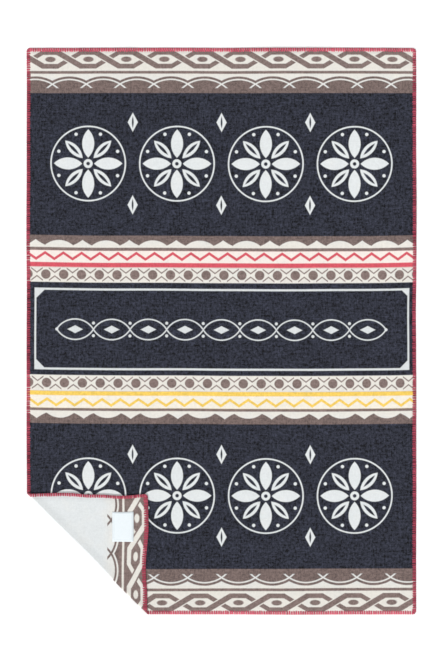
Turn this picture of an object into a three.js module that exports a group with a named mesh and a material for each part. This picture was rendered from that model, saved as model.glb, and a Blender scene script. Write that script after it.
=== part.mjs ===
// A woven wool blanket that lies flat on its reverse, with its lower left corner
// turned over onto the face. Millimetres, +Z up. The origin is at the middle of
// the underside, +X runs across the blanket and +Y along it.
//
// The cloth is worked out flat and then laid: a flat point (a, b) is measured from
// the corner that is turned over, a across and b along, and n is the distance from
// the middle of the cloth's thickness towards its face.

import * as THREE from "three";

// Driving dimensions of the finished blanket
const WIDTH = 1300;
const LENGTH = 1890;
const CLOTH_THICKNESS = 3;
const CORNER_RADIUS = 12;

// The yarn stitched over the edge: how far it reaches in, how thick it lies and how
// much its outer arris is eased
const EDGING_REACH = 13;
const EDGING_YARN = 0.7;
const EDGE_EASE = 0.5;
const PIECE_GAP = 0.3;

// The cloth is squeezed under the stitches and swells to its full thickness past them
const SQUEEZED_THICKNESS = 1;
const SQUEEZE_MARGIN = 0.5;
const SWELL_WIDTH = 5;

// The turned-over corner: how far the fold lies from where the corner was, how
// tightly the cloth bends there, how it sinks behind the bend, and how far apart
// its layers then lie
const FOLD_SETBACK = 286;
const BEND_RADIUS = 4;
const SINK_ANGLE = THREE.MathUtils.degToRad(8);
const SINK_RADIUS = 120;
const LAYER_GAP = 2;

// The label on the reverse: its flat place from the corner, and its thickness
const LABEL = { a: 57, b: 48, width: 103, height: 70, thickness: 0.6 };
const LABEL_CELL = 17;

// How finely the cloth, its bend and each rounded corner are divided, and the least
// space between two sections of the edging
const CELL = 65;
const BEND_STEPS = 8;
const SINK_STEPS = 3;
const CORNER_STEPS = 4;
const SECTION_SPACE = 3;

// Soft rises where the cloth doesn't lie quite flat: middle, half length and half
// width, the way the rise runs, and its height
const RISES = [
  { x: -330, y: 870, long: 210, wide: 140, turn: 80, height: 3.0 },
  { x: 250, y: 905, long: 260, wide: 150, turn: 95, height: 3.6 },
  { x: 610, y: 420, long: 240, wide: 150, turn: 5, height: 4.2 },
  { x: 625, y: -310, long: 280, wide: 140, turn: -4, height: 3.2 },
  { x: 330, y: -900, long: 230, wide: 150, turn: 86, height: 3.8 },
  { x: -605, y: 330, long: 250, wide: 140, turn: 3, height: 3.4 },
  { x: -120, y: 420, long: 300, wide: 150, turn: 30, height: 1.6 },
  { x: 180, y: -420, long: 280, wide: 150, turn: -25, height: 1.4 },
];

// Slow waves in the plane that leave the edges a little out of true: how far each
// moves the cloth in x and in y, the length of the wave, its direction and start
const WAVES = [
  { dx: 0.4, dy: 0.0, length: 640, turn: 88, start: 40 },
  { dx: 0.0, dy: 0.3, length: 560, turn: 4, start: 200 },
  { dx: 0.3, dy: 0.1, length: 330, turn: 75, start: 110 },
  { dx: 0.1, dy: 0.2, length: 290, turn: 15, start: 310 },
];

// Places where the cloth was pulled out of line when it was laid: middle, reach and
// how far the cloth moved there; the first lies on the fold
const PULLS = [
  { x: -450, y: -745, reach: 170, dx: 2.2, dy: 2.2 },
  { x: 650, y: 330, reach: 200, dx: 1.0, dy: 0 },
  { x: 650, y: 70, reach: 120, dx: -1.4, dy: 0 },
];

// The same on the turned-over corner alone: its upper edge dips, its side draws in.
// They set in gently over some distance from the fold.
const FLAP_EASE = 120;
const FLAP_PULLS = [
  { x: -335, y: -550, reach: 110, dx: 0, dy: -6.5 },
  { x: -250, y: -770, reach: 160, dx: -5, dy: 0 },
  { x: -560, y: -540, reach: 130, dx: 0, dy: 3 },
];

const CLOTH_COLOUR = 0x33363f;
const EDGING_COLOUR = 0xb83a49;
const LABEL_COLOUR = 0xe4ecf0;

const HALF_THICKNESS = CLOTH_THICKNESS / 2;
const EDGE_GAP = EDGING_YARN + PIECE_GAP;
const ROOT_TWO = Math.SQRT2;

// The bend starts here, measured from the corner across the fold
const BEND_START = FOLD_SETBACK + BEND_RADIUS + HALF_THICKNESS;
const BEND_LENGTH = (Math.PI + SINK_ANGLE) * BEND_RADIUS;
const FLAP_HEIGHT = CLOTH_THICKNESS + LAYER_GAP;
const SINK_DROP = SINK_RADIUS * (1 - Math.cos(SINK_ANGLE));
const SLOPE_DROP = BEND_RADIUS * (1 + Math.cos(SINK_ANGLE)) - SINK_DROP - FLAP_HEIGHT;
const SLOPE_LENGTH = SLOPE_DROP / Math.sin(SINK_ANGLE);
const SINK_LENGTH = SINK_RADIUS * SINK_ANGLE;

// Section of the cloth across the fold. The way along it starts where the bend
// starts; across and up give the place, and turn is how far the cloth has turned.
function foldSection(way) {
  if (way <= 0) {
    return { across: BEND_START - way, up: 0, turn: 0 };
  }
  if (way <= BEND_LENGTH) {
    const turn = way / BEND_RADIUS;
    const across = BEND_START - BEND_RADIUS * Math.sin(turn);
    return { across, up: BEND_RADIUS * (1 - Math.cos(turn)), turn };
  }
  const bendEnd = foldSection(BEND_LENGTH);
  const onSlope = Math.min(way - BEND_LENGTH, SLOPE_LENGTH);
  const slopeAcross = bendEnd.across + onSlope * Math.cos(SINK_ANGLE);
  const slopeUp = bendEnd.up - onSlope * Math.sin(SINK_ANGLE);
  const pastSlope = way - BEND_LENGTH - SLOPE_LENGTH;
  if (pastSlope <= 0) {
    return { across: slopeAcross, up: slopeUp, turn: Math.PI + SINK_ANGLE };
  }
  const sinkAngle = SINK_ANGLE - Math.min(pastSlope, SINK_LENGTH) / SINK_RADIUS;
  const flat = Math.max(pastSlope - SINK_LENGTH, 0);
  const sunk = SINK_RADIUS * (Math.sin(SINK_ANGLE) - Math.sin(sinkAngle));
  return {
    across: slopeAcross + sunk + flat,
    up: slopeUp - SINK_RADIUS * (Math.cos(sinkAngle) - Math.cos(SINK_ANGLE)),
    turn: Math.PI + sinkAngle,
  };
}

// A smooth hump that is 1 in its middle and 0 from its rim on
function hump(distance) {
  return distance < 1 ? (1 - distance * distance) ** 2 : 0;
}

// Height of the soft rises at a place
function rise(x, y) {
  let height = 0;
  for (const bump of RISES) {
    const turn = THREE.MathUtils.degToRad(bump.turn);
    const along = (x - bump.x) * Math.sin(turn) + (y - bump.y) * Math.cos(turn);
    const aside = (x - bump.x) * Math.cos(turn) - (y - bump.y) * Math.sin(turn);
    height += bump.height * hump(Math.hypot(along / bump.long, aside / bump.wide));
  }
  return height;
}

// How far the slow waves and the pulls move a place in the plane
function drift(x, y, overlap) {
  const move = new THREE.Vector2();
  for (const wave of WAVES) {
    const turn = THREE.MathUtils.degToRad(wave.turn);
    const along = x * Math.cos(turn) + y * Math.sin(turn);
    const phase = (along / wave.length) * 2 * Math.PI + THREE.MathUtils.degToRad(wave.start);
    move.x += wave.dx * Math.sin(phase);
    move.y += wave.dy * Math.sin(phase);
  }
  for (const pull of PULLS) {
    const share = hump(Math.hypot(x - pull.x, y - pull.y) / pull.reach);
    move.x += pull.dx * share;
    move.y += pull.dy * share;
  }
  for (const pull of FLAP_PULLS) {
    const share = overlap * hump(Math.hypot(x - pull.x, y - pull.y) / pull.reach);
    move.x += pull.dx * share;
    move.y += pull.dy * share;
  }
  return move;
}

// Lays a flat point of the cloth where it lies in the folded blanket
function lay(a, b, n) {
  const toFold = (a + b) / ROOT_TWO;
  const alongFold = (a - b) / ROOT_TWO;
  const way = BEND_START - toFold;
  const section = foldSection(way);
  const across = section.across + n * Math.sin(section.turn);
  const up = section.up + n * Math.cos(section.turn);
  const x = (across + alongFold) / ROOT_TWO - WIDTH / 2;
  const y = (across - alongFold) / ROOT_TWO - LENGTH / 2;
  const overlap = THREE.MathUtils.smoothstep(way, 0, FLAP_EASE);
  const move = drift(x, y, overlap);
  const z = HALF_THICKNESS + up + rise(x, y);
  return new THREE.Vector3(x + move.x, y + move.y, z);
}

// Distances from the corner, across the fold, at which the cloth is creased by the
// bend and by the slope behind it
function foldBreaks() {
  const breaks = [];
  for (let step = 0; step <= BEND_STEPS; step += 1) {
    breaks.push(BEND_START - (BEND_LENGTH * step) / BEND_STEPS);
  }
  const slopeEnd = BEND_START - BEND_LENGTH - SLOPE_LENGTH;
  for (let step = 0; step <= SINK_STEPS; step += 1) {
    breaks.push(slopeEnd - (SINK_LENGTH * step) / SINK_STEPS);
  }
  return breaks.sort((one, other) => one - other);
}

// Keeps the part of a convex outline where toRight * a + upward * b is at most limit
function clipOutline(outline, toRight, upward, limit) {
  const kept = [];
  outline.forEach((point, index) => {
    const next = outline[(index + 1) % outline.length];
    const here = toRight * point[0] + upward * point[1] - limit;
    const there = toRight * next[0] + upward * next[1] - limit;
    if (here <= 0) {
      kept.push(point);
    }
    if ((here < 0 && there > 0) || (here > 0 && there < 0)) {
      const share = here / (here - there);
      kept.push([
        point[0] + share * (next[0] - point[0]),
        point[1] + share * (next[1] - point[1]),
      ]);
    }
  });
  return kept;
}

// Even steps from start to end, each at most as long as step
function evenSteps(start, end, step) {
  const count = Math.ceil((end - start) / step);
  return Array.from({ length: count + 1 }, (_, index) => start + ((end - start) * index) / count);
}

// Points of the four rounded corners of a finished-size outline that is drawn in by
// inset, corner by corner, anticlockwise from the corner that is turned over
function cornerArcs(inset) {
  const near = CORNER_RADIUS;
  const radius = CORNER_RADIUS - inset;
  const centres = [
    [near, near],
    [WIDTH - near, near],
    [WIDTH - near, LENGTH - near],
    [near, LENGTH - near],
  ];
  return centres.map(([a, b], corner) => {
    const first = Math.PI + (corner * Math.PI) / 2;
    return Array.from({ length: CORNER_STEPS + 1 }, (_, step) => {
      const angle = first + (step * Math.PI) / (2 * CORNER_STEPS);
      return [a + radius * Math.cos(angle), b + radius * Math.sin(angle)];
    });
  });
}

// Divides a rectangle of flat cloth into convex outlines along its lines, the fold's
// breaks and the chords of its rounded corners
function divideCloth(acrossLines, alongLines, breaks, corners) {
  const bands = [-Infinity, ...breaks, Infinity];
  const pieces = [];
  for (let column = 0; column + 1 < acrossLines.length; column += 1) {
    for (let row = 0; row + 1 < alongLines.length; row += 1) {
      const [left, right] = [acrossLines[column], acrossLines[column + 1]];
      const [low, high] = [alongLines[row], alongLines[row + 1]];
      let cell = [[left, low], [right, low], [right, high], [left, high]];
      for (const arc of corners) {
        for (let step = 0; step < CORNER_STEPS; step += 1) {
          const [from, to] = [arc[step], arc[step + 1]];
          const outward = [to[1] - from[1], from[0] - to[0]];
          const limit = outward[0] * from[0] + outward[1] * from[1];
          cell = clipOutline(cell, outward[0], outward[1], limit);
        }
      }
      for (let band = 0; band + 1 < bands.length; band += 1) {
        let piece = cell;
        if (bands[band] > -Infinity) {
          piece = clipOutline(piece, -1, -1, -bands[band] * ROOT_TWO);
        }
        if (bands[band + 1] < Infinity) {
          piece = clipOutline(piece, 1, 1, bands[band + 1] * ROOT_TWO);
        }
        if (piece.length > 2) {
          pieces.push(piece);
        }
      }
    }
  }
  return pieces;
}

// Flat points closer than this are the same point
const SAME_POINT = 0.01;

// A closed layer of cloth: the outlines laid twice, at each point's lower and upper
// distance from the middle, and a wall along the free edge
function layerGeometry(outlines, lower, upper) {
  const numbers = new Map();
  const points = [];
  const numberOf = ([a, b]) => {
    const key = `${Math.round(a / SAME_POINT)} ${Math.round(b / SAME_POINT)}`;
    if (!numbers.has(key)) {
      numbers.set(key, points.length);
      points.push([a, b]);
    }
    return numbers.get(key);
  };
  const triangles = [];
  for (const outline of outlines) {
    const corners = outline.map(numberOf).filter((number, index, all) => {
      return number !== all[(index + 1) % all.length];
    });
    for (let corner = 1; corner + 1 < corners.length; corner += 1) {
      triangles.push([corners[0], corners[corner], corners[corner + 1]]);
    }
  }
  const sides = new Set();
  for (const [one, two, three] of triangles) {
    sides.add(`${one} ${two}`).add(`${two} ${three}`).add(`${three} ${one}`);
  }
  const count = points.length;
  const faces = [];
  for (const [one, two, three] of triangles) {
    faces.push(one + count, two + count, three + count);
    faces.push(one, three, two);
  }
  for (const side of sides) {
    const [from, to] = side.split(" ").map(Number);
    if (!sides.has(`${to} ${from}`)) {
      faces.push(from, to, to + count);
      faces.push(from, to + count, from + count);
    }
  }
  const places = [];
  for (const [a, b] of points) {
    places.push(...lay(a, b, lower(a, b)).toArray());
  }
  for (const [a, b] of points) {
    places.push(...lay(a, b, upper(a, b)).toArray());
  }
  const geometry = new THREE.BufferGeometry();
  geometry.setAttribute("position", new THREE.Float32BufferAttribute(places, 3));
  geometry.setIndex(faces);
  geometry.computeVertexNormals();
  return geometry;
}

// Half the cloth's thickness at a flat point: squeezed under the edging, then full
function halfThickness(a, b) {
  const fromEdge = Math.min(a, b, WIDTH - a, LENGTH - b);
  const past = fromEdge - EDGING_REACH - SQUEEZE_MARGIN;
  const share = THREE.MathUtils.clamp(past / SWELL_WIDTH, 0, 1);
  return (SQUEEZED_THICKNESS + share * (CLOTH_THICKNESS - SQUEEZED_THICKNESS)) / 2;
}

// Lines that divide one side of the cloth: at its cut edges, where the stitches
// end, where it has swollen to its full thickness, and evenly between
function clothLines(size) {
  const squeezed = EDGING_REACH + SQUEEZE_MARGIN;
  const full = squeezed + SWELL_WIDTH;
  const middle = evenSteps(full, size - full, CELL);
  return [EDGE_GAP, squeezed, ...middle, size - squeezed, size - EDGE_GAP];
}

function clothMesh() {
  const outlines = divideCloth(
    clothLines(WIDTH),
    clothLines(LENGTH),
    foldBreaks(),
    cornerArcs(EDGE_GAP),
  );
  const lower = (a, b) => -halfThickness(a, b);
  const geometry = layerGeometry(outlines, lower, halfThickness);
  const material = new THREE.MeshStandardMaterial({
    color: CLOTH_COLOUR,
    roughness: 0.95,
    metalness: 0,
  });
  return new THREE.Mesh(geometry, material);
}

// Where the edging is divided along one side: a section is a start along the side
// and a slant, by which it leans as it goes in. Sections in the bend lean along the
// fold. The side's place and slant for a fold break come from foldPlace.
function sideSections(size, foldPlace) {
  const clear = EDGING_REACH + SECTION_SPACE;
  const steps = clothLines(size).filter((line) => line > clear && line < size - clear);
  const sections = steps.map((start) => ({ start, slant: 0 }));
  if (!foldPlace) {
    return sections;
  }
  const leaning = foldBreaks().map(foldPlace);
  const starts = leaning.map((section) => section.start);
  const first = Math.min(...starts) - clear;
  const last = Math.max(...starts) + clear;
  const upright = sections.filter((section) => section.start < first || section.start > last);
  return [...upright, ...leaning].sort((one, other) => one.start - other.start);
}

// All sections of the edging in order, anticlockwise from the turned-over corner.
// Each gives its flat point at a distance in from the finished edge.
function edgingSections() {
  const along = [
    { corner: [0, 0], way: [1, 0], inward: [0, 1], size: WIDTH },
    { corner: [WIDTH, 0], way: [0, 1], inward: [-1, 0], size: LENGTH },
    { corner: [WIDTH, LENGTH], way: [-1, 0], inward: [0, -1], size: WIDTH },
    { corner: [0, LENGTH], way: [0, -1], inward: [1, 0], size: LENGTH },
  ];
  const foldPlaces = [
    (distance) => ({ start: distance * ROOT_TWO, slant: -1 }),
    null,
    null,
    (distance) => ({ start: LENGTH - distance * ROOT_TWO, slant: 1 }),
  ];
  const arcCount = CORNER_STEPS / 2;
  const sections = [];
  along.forEach(({ corner, way, inward, size }, side) => {
    const before = along[(side + 3) % 4];
    for (let step = 0; step <= CORNER_STEPS; step += 1) {
      const lean = step - arcCount;
      const innerAlong = EDGING_REACH + Math.max(lean, 0);
      const innerAside = EDGING_REACH + Math.max(-lean, 0);
      sections.push((inset) => {
        if (inset < EDGE_GAP) {
          return cornerArcs(inset)[side][step];
        }
        return [
          corner[0] + way[0] * innerAlong - before.way[0] * innerAside,
          corner[1] + way[1] * innerAlong - before.way[1] * innerAside,
        ];
      });
    }
    for (const { start, slant } of sideSections(size, foldPlaces[side])) {
      sections.push((inset) => {
        const reached = start + slant * inset;
        return [
          corner[0] + way[0] * reached + inward[0] * inset,
          corner[1] + way[1] * reached + inward[1] * inset,
        ];
      });
    }
  });
  return sections;
}

// The edging is one closed ring whose section wraps the cloth's edge
function edgingMesh() {
  const outer = HALF_THICKNESS;
  const inner = SQUEEZED_THICKNESS / 2 + PIECE_GAP;
  const wrap = [
    [EDGING_REACH, outer],
    [EDGE_EASE, outer],
    [0, outer - EDGE_EASE],
    [0, EDGE_EASE - outer],
    [EDGE_EASE, -outer],
    [EDGING_REACH, -outer],
    [EDGING_REACH, -inner],
    [EDGING_YARN, -inner],
    [EDGING_YARN, inner],
    [EDGING_REACH, inner],
  ];
  const sections = edgingSections();
  const places = [];
  for (const section of sections) {
    for (const [inset, n] of wrap) {
      const [a, b] = section(inset);
      places.push(...lay(a, b, n).toArray());
    }
  }
  const faces = [];
  sections.forEach((_, index) => {
    const here = index * wrap.length;
    const next = ((index + 1) % sections.length) * wrap.length;
    for (let corner = 0; corner < wrap.length; corner += 1) {
      const following = (corner + 1) % wrap.length;
      faces.push(here + corner, here + following, next + following);
      faces.push(here + corner, next + following, next + corner);
    }
  });
  const geometry = new THREE.BufferGeometry();
  geometry.setAttribute("position", new THREE.Float32BufferAttribute(places, 3));
  geometry.setIndex(faces);
  geometry.computeVertexNormals();
  const material = new THREE.MeshStandardMaterial({
    color: EDGING_COLOUR,
    roughness: 0.85,
    metalness: 0,
  });
  return new THREE.Mesh(geometry, material);
}

// The label lies on the reverse, a little off the cloth
function labelMesh() {
  const acrossLines = evenSteps(LABEL.a, LABEL.a + LABEL.width, LABEL_CELL);
  const alongLines = evenSteps(LABEL.b, LABEL.b + LABEL.height, LABEL_CELL);
  const outlines = divideCloth(acrossLines, alongLines, [], []);
  const upper = () => -HALF_THICKNESS - PIECE_GAP;
  const lower = () => -HALF_THICKNESS - PIECE_GAP - LABEL.thickness;
  const geometry = layerGeometry(outlines, lower, upper);
  const material = new THREE.MeshStandardMaterial({
    color: LABEL_COLOUR,
    roughness: 0.6,
    metalness: 0,
  });
  return new THREE.Mesh(geometry, material);
}

const blanket = clothMesh();
blanket.name = "blanket";
const edging = edgingMesh();
edging.name = "edging";
const label = labelMesh();
label.name = "label";

const foldedBlanket = new THREE.Group();
foldedBlanket.add(blanket, edging, label);

export default foldedBlanket;
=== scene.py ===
"""A woven wool blanket, laid out flat with one corner turned over onto its face.

The cloth is worked out flat and then laid. A flat point (a, b) is measured in
metres from the corner that is turned over, a across and b along, and n is the
distance from the middle of the cloth's thickness towards its face.
"""

import math

import bmesh
import bpy
import numpy as np
from bpy.props import FloatProperty, FloatVectorProperty, IntProperty, PointerProperty
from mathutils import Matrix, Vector


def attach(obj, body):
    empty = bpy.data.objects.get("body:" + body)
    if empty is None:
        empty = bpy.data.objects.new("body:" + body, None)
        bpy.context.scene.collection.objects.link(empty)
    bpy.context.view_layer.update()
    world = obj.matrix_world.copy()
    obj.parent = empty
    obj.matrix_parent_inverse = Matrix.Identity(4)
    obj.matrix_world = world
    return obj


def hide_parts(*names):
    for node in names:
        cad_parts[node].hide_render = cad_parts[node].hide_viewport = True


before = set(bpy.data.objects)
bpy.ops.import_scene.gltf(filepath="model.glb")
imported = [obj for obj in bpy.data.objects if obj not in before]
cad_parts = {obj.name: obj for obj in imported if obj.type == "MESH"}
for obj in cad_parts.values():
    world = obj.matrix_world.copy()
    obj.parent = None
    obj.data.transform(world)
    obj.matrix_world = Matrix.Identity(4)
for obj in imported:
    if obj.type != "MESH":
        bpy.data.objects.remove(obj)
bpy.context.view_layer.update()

bl_info = {
    "name": "Folded wool blanket",
    "version": (1, 0, 0),
    "blender": (4, 5, 0),
    "location": "View3D > Sidebar > Blanket",
    "description": "Builds the woven blanket, its edging, its label and the studio",
    "category": "Add Mesh",
}

MM = 0.001
ROOT_TWO = math.sqrt(2)

# The turned-over corner: how far the fold lies from where the corner was, how
# tightly the cloth bends, how it sinks behind the bend and how its layers lie
FOLD_SETBACK = 286 * MM
BEND_RADIUS = 4 * MM
SINK_ANGLE = math.radians(8)
SINK_RADIUS = 120 * MM
LAYER_GAP = 2 * MM

# The cloth is squeezed under the stitches and swells to full thickness past them
SQUEEZED_THICKNESS = 1 * MM
SQUEEZE_MARGIN = 0.5 * MM
SWELL_WIDTH = 5 * MM
EDGE_GAP = 1 * MM
CORNER_RADIUS = 12 * MM

# Soft rises where the cloth doesn't lie quite flat, in millimetres and degrees:
# middle x and y, half length, half width, the way the rise runs, and its height
RISES = (
    (-330, 870, 210, 140, 80, 1.5),
    (250, 905, 260, 150, 95, 1.8),
    (610, 420, 240, 150, 5, 4.2),
    (625, -310, 280, 140, -4, 3.2),
    (330, -900, 230, 150, 86, 3.8),
    (-605, 330, 250, 140, 3, 3.4),
    (-120, 420, 300, 150, 30, 1.6),
    (180, -420, 280, 150, -25, 1.4),
)

# Slow waves in the plane that leave the edges out of true, in millimetres and
# degrees: move in x and y, length of the wave, its direction and its start
WAVES = (
    (0.4, 0.0, 640, 88, 40),
    (0.0, 0.3, 560, 4, 200),
    (0.3, 0.1, 330, 75, 110),
    (0.1, 0.2, 290, 15, 310),
)

# Where the cloth was pulled out of line as it was laid, in millimetres: middle x
# and y, reach, and the move in x and y. The second table holds on the flap alone.
PULLS = (
    (-450, -745, 170, 2.2, 2.2),
    (650, 330, 200, 1.0, 0),
    (650, 70, 120, -1.4, 0),
)
FLAP_PULLS = (
    (-335, -550, 95, 0, -6.5),
    (-200, -775, 130, -7.5, 0),
    (-560, -540, 130, 0, 4.2),
    (-440, -545, 60, 0, -2.2),
    (-190, -665, 190, 4.4, 0),
)
FLAP_EASE = 120 * MM

# Small ripples of the lying cloth, in millimetres and degrees: height, length of
# the ripple, its direction and its start
RIPPLES = (
    (0.16, 118, 20, 0),
    (0.14, 83, 112, 70),
    (0.10, 61, 64, 200),
    (0.08, 47, 151, 310),
)

# The bake's map: how much of it the face of the cloth takes, and the two places
# below for the reverse of the flap and for the rest of the reverse
BAKE_FACE = (0.004, 0.004, 0.992, 0.682)
BAKE_FLAP = (0.006, 0.700, 0.216, 0.216)
BAKE_REVERSE = (0.240, 0.700, 0.755, 0.294)
BAKE_WALL = 0.002
BAKE_SPARE = 1.01


def hump(distance):
    """A smooth hump that is 1 in its middle and 0 from its rim on."""
    return np.clip(1 - distance * distance, 0, 1) ** 2


def smooth_step(value, length):
    """Rises gently from 0 at nought to 1 at length."""
    share = np.clip(value / length, 0, 1)
    return share * share * (3 - 2 * share)


class LaidCloth:
    """The blanket's cloth: its flat size and how each flat point comes to lie."""

    def __init__(self, sizes):
        self.width = sizes.width
        self.length = sizes.length
        self.thickness = sizes.thickness
        self.reach = sizes.edging_reach
        self.half = sizes.thickness / 2
        self.bend_start = FOLD_SETBACK + BEND_RADIUS + self.half
        self.bend_length = (math.pi + SINK_ANGLE) * BEND_RADIUS
        flap_height = self.thickness + LAYER_GAP
        sink_drop = SINK_RADIUS * (1 - math.cos(SINK_ANGLE))
        bend_top = BEND_RADIUS * (1 + math.cos(SINK_ANGLE))
        self.slope_length = (bend_top - sink_drop - flap_height) / math.sin(SINK_ANGLE)
        self.sink_length = SINK_RADIUS * SINK_ANGLE

    def section(self, way):
        """Place across the fold, height and turn, at a way along the bend."""
        bent = np.clip(way, 0, self.bend_length)
        slope = np.clip(way - self.bend_length, 0, self.slope_length)
        sunk = np.clip(way - self.bend_length - self.slope_length, 0, self.sink_length)
        flat = np.maximum(way - self.bend_length - self.slope_length - self.sink_length, 0)
        left = SINK_ANGLE - sunk / SINK_RADIUS
        across = self.bend_start - np.minimum(way, 0) - BEND_RADIUS * np.sin(bent / BEND_RADIUS)
        across += slope * math.cos(SINK_ANGLE) + flat
        across += SINK_RADIUS * (math.sin(SINK_ANGLE) - np.sin(left))
        up = BEND_RADIUS * (1 - np.cos(bent / BEND_RADIUS)) - slope * math.sin(SINK_ANGLE)
        up -= SINK_RADIUS * (np.cos(left) - math.cos(SINK_ANGLE))
        turn = bent / BEND_RADIUS - sunk / SINK_RADIUS
        return across, up, turn

    def rise(self, x, y):
        """Height of the soft rises and small ripples at a place."""
        height = np.zeros_like(x)
        for middle_x, middle_y, long, wide, degrees, top in RISES:
            turn = math.radians(degrees)
            from_x = x - middle_x * MM
            from_y = y - middle_y * MM
            along = (from_x * math.sin(turn) + from_y * math.cos(turn)) / (long * MM)
            aside = (from_x * math.cos(turn) - from_y * math.sin(turn)) / (wide * MM)
            height += top * MM * hump(np.hypot(along, aside))
        for top, length, degrees, start in RIPPLES:
            turn = math.radians(degrees)
            along = (x * math.cos(turn) + y * math.sin(turn)) / (length * MM)
            height += top * MM * (1 + np.sin(2 * math.pi * along + math.radians(start)))
        return height

    def drift(self, x, y, overlap):
        """How far the slow waves and the pulls move a place in the plane."""
        move_x = np.zeros_like(x)
        move_y = np.zeros_like(y)
        for wave_x, wave_y, length, degrees, start in WAVES:
            turn = math.radians(degrees)
            along = (x * math.cos(turn) + y * math.sin(turn)) / (length * MM)
            swing = np.sin(2 * math.pi * along + math.radians(start))
            move_x += wave_x * MM * swing
            move_y += wave_y * MM * swing
        for table, weight in ((PULLS, 1.0), (FLAP_PULLS, overlap)):
            for middle_x, middle_y, reach, pull_x, pull_y in table:
                away = np.hypot(x - middle_x * MM, y - middle_y * MM) / (reach * MM)
                share = weight * hump(away)
                move_x += pull_x * MM * share
                move_y += pull_y * MM * share
        return move_x, move_y

    def lay(self, a, b, n):
        """Lays flat points of the cloth where they lie in the folded blanket."""
        a, b, n = (np.asarray(values, float) for values in (a, b, n))
        way = self.bend_start - (a + b) / ROOT_TWO
        along = (a - b) / ROOT_TWO
        across, up, turn = self.section(way)
        across = across + n * np.sin(turn)
        up = up + n * np.cos(turn)
        x = (across + along) / ROOT_TWO - self.width / 2
        y = (across - along) / ROOT_TWO - self.length / 2
        move_x, move_y = self.drift(x, y, smooth_step(way, FLAP_EASE))
        z = self.half + up + self.rise(x, y)
        return np.stack([x + move_x, y + move_y, z], axis=-1)

    def half_thickness(self, a, b):
        """Half the thickness at flat points: squeezed under the edging, then full."""
        from_edge = np.minimum.reduce([a, b, self.width - a, self.length - b])
        past = from_edge - self.reach - SQUEEZE_MARGIN
        share = smooth_step(past, SWELL_WIDTH)
        return (SQUEEZED_THICKNESS + share * (self.thickness - SQUEEZED_THICKNESS)) / 2

    def fold_breaks(self, bend_steps, sink_steps):
        """Distances from the corner at which the cloth is divided for its bend."""
        bend = np.linspace(0, self.bend_length, bend_steps + 1)
        slope_end = self.bend_length + self.slope_length
        sink = np.linspace(slope_end, slope_end + self.sink_length, sink_steps + 1)
        return self.bend_start - np.concatenate([bend, sink])

    def corner_arcs(self, inset, steps):
        """Points of the four rounded corners, anticlockwise, drawn in by inset."""
        near = CORNER_RADIUS
        radius = CORNER_RADIUS - inset
        far_a = self.width - near
        far_b = self.length - near
        arcs = []
        middles = [(near, near), (far_a, near), (far_a, far_b), (near, far_b)]
        for corner, (a, b) in enumerate(middles):
            angles = math.pi + (corner + np.linspace(0, 1, steps + 1)) * math.pi / 2
            arcs.append(np.stack([a + radius * np.cos(angles), b + radius * np.sin(angles)], -1))
        return arcs


def flat_layer(lines_a, lines_b):
    """A flat layer of faces between two sets of lines."""
    layer = bmesh.new()
    rows = [[layer.verts.new((a, b, 0)) for a in lines_a] for b in lines_b]
    for low, high in zip(rows, rows[1:]):
        for left in range(len(low) - 1):
            layer.faces.new((low[left], low[left + 1], high[left + 1], high[left]))
    return layer


def cut_layer(layer, place, outward, cut_away=False):
    """Cuts a flat layer along a line, and can take away what lies outside it."""
    everything = layer.verts[:] + layer.edges[:] + layer.faces[:]
    bmesh.ops.bisect_plane(
        layer,
        geom=everything,
        dist=1e-7,
        plane_co=(place[0], place[1], 0),
        plane_no=(outward[0], outward[1], 0),
        clear_outer=cut_away,
    )


def new_piece(name, places, faces):
    """A smooth mesh object, linked to the scene."""
    mesh = bpy.data.meshes.new(name)
    mesh.from_pydata(places.tolist(), [], faces)
    mesh.shade_smooth()
    piece = bpy.data.objects.new(name, mesh)
    bpy.context.scene.collection.objects.link(piece)
    return piece


def strand_faces(count, rings, sides):
    """The faces of closed strands whose points are given ring by ring."""
    corner = np.arange(sides)
    following = (corner + 1) % sides
    ring = np.stack([corner, following, following + sides, corner + sides], -1)
    starts = np.arange(count)[:, None] * rings * sides
    ring_starts = starts + np.arange(rings - 1) * sides
    faces = (ring + ring_starts[..., None, None]).reshape(-1, 4).tolist()
    faces += (starts + corner[::-1]).tolist()
    faces += (starts + (rings - 1) * sides + corner).tolist()
    return faces


def closed_layer(name, layer, lower, upper, lay):
    """Makes a flat layer a closed mesh with two faces and a wall along its edge.

    lower and upper give each flat point's distance from the cloth's middle. The
    mesh has the flat places as its map "Cloth", and 1 on its face and 0 on its
    reverse as its attribute "side".
    """
    layer.verts.index_update()
    flat = np.array([vert.co[:2] for vert in layer.verts])
    count = len(flat)
    a, b = flat.T
    places = np.concatenate([lay(a, b, lower(a, b)), lay(a, b, upper(a, b))])
    faces = []
    kinds = []
    for face in layer.faces:
        numbers = [vert.index for vert in face.verts]
        faces.append([number + count for number in numbers])
        faces.append(numbers[::-1])
        kinds += [1, 0]
    for edge in layer.edges:
        if edge.is_boundary:
            loop = edge.link_loops[0]
            start = loop.vert.index
            end = loop.link_loop_next.vert.index
            faces.append([start, end, end + count, start + count])
            kinds.append(2)
    layer.free()
    piece = new_piece(name, places, faces)
    mesh = piece.data
    corners = np.empty(len(mesh.loops), int)
    mesh.loops.foreach_get("vertex_index", corners)
    flat_twice = np.concatenate([flat, flat])
    mesh.uv_layers.new(name="Cloth").uv.foreach_set(
        "vector", flat_twice[corners].astype(np.float32).ravel()
    )
    side = mesh.attributes.new("side", "FLOAT", "POINT")
    side.data.foreach_set("value", np.repeat([0.0, 1.0], count).astype(np.float32))
    return piece, np.array(kinds), flat_twice, corners


def finish_piece(piece, finish, node):
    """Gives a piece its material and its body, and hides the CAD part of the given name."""
    piece.data.materials.clear()
    piece.data.materials.append(finish)
    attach(piece, "root")
    if node:
        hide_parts(node)


def opaque(colour):
    """A colour as a socket for colours takes it, with its alpha."""
    return tuple(colour) + (1,)


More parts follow.
